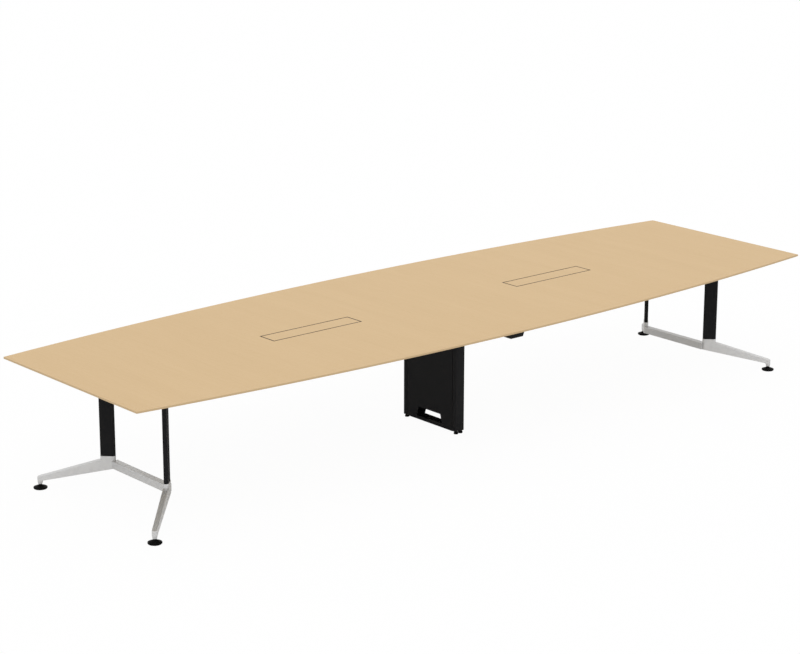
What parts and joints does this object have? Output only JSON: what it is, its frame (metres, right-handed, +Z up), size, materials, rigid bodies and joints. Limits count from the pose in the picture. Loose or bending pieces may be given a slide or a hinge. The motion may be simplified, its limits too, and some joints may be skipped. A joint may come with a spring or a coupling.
{
  "type": "conference table",
  "caption": "Long boat-shaped wood-topped conference table with flush wiring lids, black columns on splayed cast aluminium feet and a central cable leg.",
  "frame": {"origin": "on the floor under the middle of the top", "axes": "+X along the table's length, +Y across it towards its back, +Z up"},
  "size_m": [4.8, 1.5, 0.72],
  "materials": {
    "table_wood": "pale natural wood-grain laminate, satin",
    "dowel_wood": "plain beech",
    "cast_aluminium": "die-cast, satin polished",
    "low_beam_silver": "silver grey, satin",
    "column_black": "black, satin powder coat",
    "beam_black": "black, matt powder coat",
    "leg_black": "black, satin powder coat",
    "cap_plastic": "black, fine matt",
    "glide_plastic": "black, smooth",
    "black_steel": "black oxide",
    "bumper_rubber": "soft black",
    "pin_steel": "bright drawn steel",
    "zinc_screws": "zinc plated"
  },
  "bodies": {
    "frame": {"beam_caps": "cap_plastic", "beam_screws": "zinc_screws", "cable_tray_left": "beam_black", "cable_tray_right": "beam_black", "centre_beam": "beam_black", "column_back_left": "column_black", "column_back_right": "column_black", "column_bolts": "zinc_screws", "column_front_left": "column_black", "column_front_right": "column_black", "foot_back_left": "cast_aluminium", "foot_back_right": "cast_aluminium", "foot_bolts": "zinc_screws", "foot_front_left": "cast_aluminium", "foot_front_right": "cast_aluminium", "head_beam_left": "beam_black", "head_beam_right": "beam_black", "leg_base": "leg_black", "leg_bolts": "zinc_screws", "leg_cover_left": "leg_black", "leg_cover_right": "leg_black", "leg_head": "beam_black", "leg_post_back": "leg_black", "leg_post_front": "leg_black", "lid_bumpers_left": "bumper_rubber", "lid_bumpers_right": "bumper_rubber", "low_beam_bolts": "zinc_screws", "low_beam_left": "low_beam_silver", "low_beam_right": "low_beam_silver", "rail_back_left": "beam_black", "rail_back_right": "beam_black", "rail_bolts": "zinc_screws", "rail_front_left": "beam_black", "rail_front_right": "beam_black", "top_dowels": "dowel_wood", "top_left": "table_wood", "top_right": "table_wood", "wiring_box_left": "beam_black", "wiring_box_right": "beam_black", "wiring_screws": "zinc_screws"},
    "lid_left": {"lid_left": "table_wood", "lid_pins_left": "pin_steel"},
    "lid_right": {"lid_right": "table_wood", "lid_pins_right": "pin_steel"},
    "glide_pad_front_left": {"glide_pad_front_left": "glide_plastic"},
    "glide_stem_front_left": {"glide_stem_front_left": "black_steel"},
    "glide_pad_front_right": {"glide_pad_front_right": "glide_plastic"},
    "glide_stem_front_right": {"glide_stem_front_right": "black_steel"},
    "glide_pad_back_left": {"glide_pad_back_left": "glide_plastic"},
    "glide_stem_back_left": {"glide_stem_back_left": "black_steel"},
    "glide_pad_back_right": {"glide_pad_back_right": "glide_plastic"},
    "glide_stem_back_right": {"glide_stem_back_right": "black_steel"},
    "leg_pad_front_left": {"leg_pad_front_left": "glide_plastic"},
    "leg_stem_front_left": {"leg_stem_front_left": "black_steel"},
    "leg_pad_front_right": {"leg_pad_front_right": "glide_plastic"},
    "leg_stem_front_right": {"leg_stem_front_right": "black_steel"},
    "leg_pad_back_left": {"leg_pad_back_left": "glide_plastic"},
    "leg_stem_back_left": {"leg_stem_back_left": "black_steel"},
    "leg_pad_back_right": {"leg_pad_back_right": "glide_plastic"},
    "leg_stem_back_right": {"leg_stem_back_right": "black_steel"}
  },
  "joints": [
    {"name": "lid_left_hinge", "type": "hinge", "parent": "frame", "child": "lid_left", "pos_m": [-0.8726, -0.0519, 0.7145], "axis": [1, 0, 0], "range_deg": [0, 100]},
    {"name": "lid_right_hinge", "type": "hinge", "parent": "frame", "child": "lid_right", "pos_m": [0.8726, 0.0519, 0.7145], "axis": [-1, 0, 0], "range_deg": [0, 100]},
    {"name": "glide_front_left_height", "type": "slide", "parent": "frame", "child": "glide_pad_front_left", "axis": [0, 0, -1], "range_m": [0, 0.01]},
    {"name": "glide_front_left_thread", "type": "hinge", "parent": "glide_pad_front_left", "child": "glide_stem_front_left", "pos_m": [-2.26397, -0.52047, 0.03], "axis": [0, 0, -1], "range_deg": [0, 2424]},
    {"name": "glide_front_right_height", "type": "slide", "parent": "frame", "child": "glide_pad_front_right", "axis": [0, 0, -1], "range_m": [0, 0.01]},
    {"name": "glide_front_right_thread", "type": "hinge", "parent": "glide_pad_front_right", "child": "glide_stem_front_right", "pos_m": [2.26397, -0.52047, 0.03], "axis": [0, 0, -1], "range_deg": [0, 2424]},
    {"name": "glide_back_left_height", "type": "slide", "parent": "frame", "child": "glide_pad_back_left", "axis": [0, 0, -1], "range_m": [0, 0.01]},
    {"name": "glide_back_left_thread", "type": "hinge", "parent": "glide_pad_back_left", "child": "glide_stem_back_left", "pos_m": [-2.26397, 0.52047, 0.03], "axis": [0, 0, -1], "range_deg": [0, 2424]},
    {"name": "glide_back_right_height", "type": "slide", "parent": "frame", "child": "glide_pad_back_right", "axis": [0, 0, -1], "range_m": [0, 0.01]},
    {"name": "glide_back_right_thread", "type": "hinge", "parent": "glide_pad_back_right", "child": "glide_stem_back_right", "pos_m": [2.26397, 0.52047, 0.03], "axis": [0, 0, -1], "range_deg": [0, 2424]},
    {"name": "leg_front_left_height", "type": "slide", "parent": "frame", "child": "leg_pad_front_left", "axis": [0, 0, -1], "range_m": [0, 0.01]},
    {"name": "leg_front_left_thread", "type": "hinge", "parent": "leg_pad_front_left", "child": "leg_stem_front_left", "pos_m": [-0.016, -0.2085, 0.03], "axis": [0, 0, -1], "range_deg": [0, 2908.8]},
    {"name": "leg_front_right_height", "type": "slide", "parent": "frame", "child": "leg_pad_front_right", "axis": [0, 0, -1], "range_m": [0, 0.01]},
    {"name": "leg_front_right_thread", "type": "hinge", "parent": "leg_pad_front_right", "child": "leg_stem_front_right", "pos_m": [0.016, -0.2085, 0.03], "axis": [0, 0, -1], "range_deg": [0, 2908.8]},
    {"name": "leg_back_left_height", "type": "slide", "parent": "frame", "child": "leg_pad_back_left", "axis": [0, 0, -1], "range_m": [0, 0.01]},
    {"name": "leg_back_left_thread", "type": "hinge", "parent": "leg_pad_back_left", "child": "leg_stem_back_left", "pos_m": [-0.016, 0.2085, 0.03], "axis": [0, 0, -1], "range_deg": [0, 2908.8]},
    {"name": "leg_back_right_height", "type": "slide", "parent": "frame", "child": "leg_pad_back_right", "axis": [0, 0, -1], "range_m": [0, 0.01]},
    {"name": "leg_back_right_thread", "type": "hinge", "parent": "leg_pad_back_right", "child": "leg_stem_back_right", "pos_m": [0.016, 0.2085, 0.03], "axis": [0, 0, -1], "range_deg": [0, 2908.8]}
  ],
  "couplings": [
    {"joint": "glide_front_left_thread", "follows": "glide_front_left_height", "rad_per_m": 4188.8},
    {"joint": "glide_front_right_thread", "follows": "glide_front_right_height", "rad_per_m": 4188.8},
    {"joint": "glide_back_left_thread", "follows": "glide_back_left_height", "rad_per_m": 4188.8},
    {"joint": "glide_back_right_thread", "follows": "glide_back_right_height", "rad_per_m": 4188.8},
    {"joint": "leg_front_left_thread", "follows": "leg_front_left_height", "rad_per_m": 5026.5},
    {"joint": "leg_front_right_thread", "follows": "leg_front_right_height", "rad_per_m": 5026.5},
    {"joint": "leg_back_left_thread", "follows": "leg_back_left_height", "rad_per_m": 5026.5},
    {"joint": "leg_back_right_thread", "follows": "leg_back_right_height", "rad_per_m": 5026.5}
  ]
}
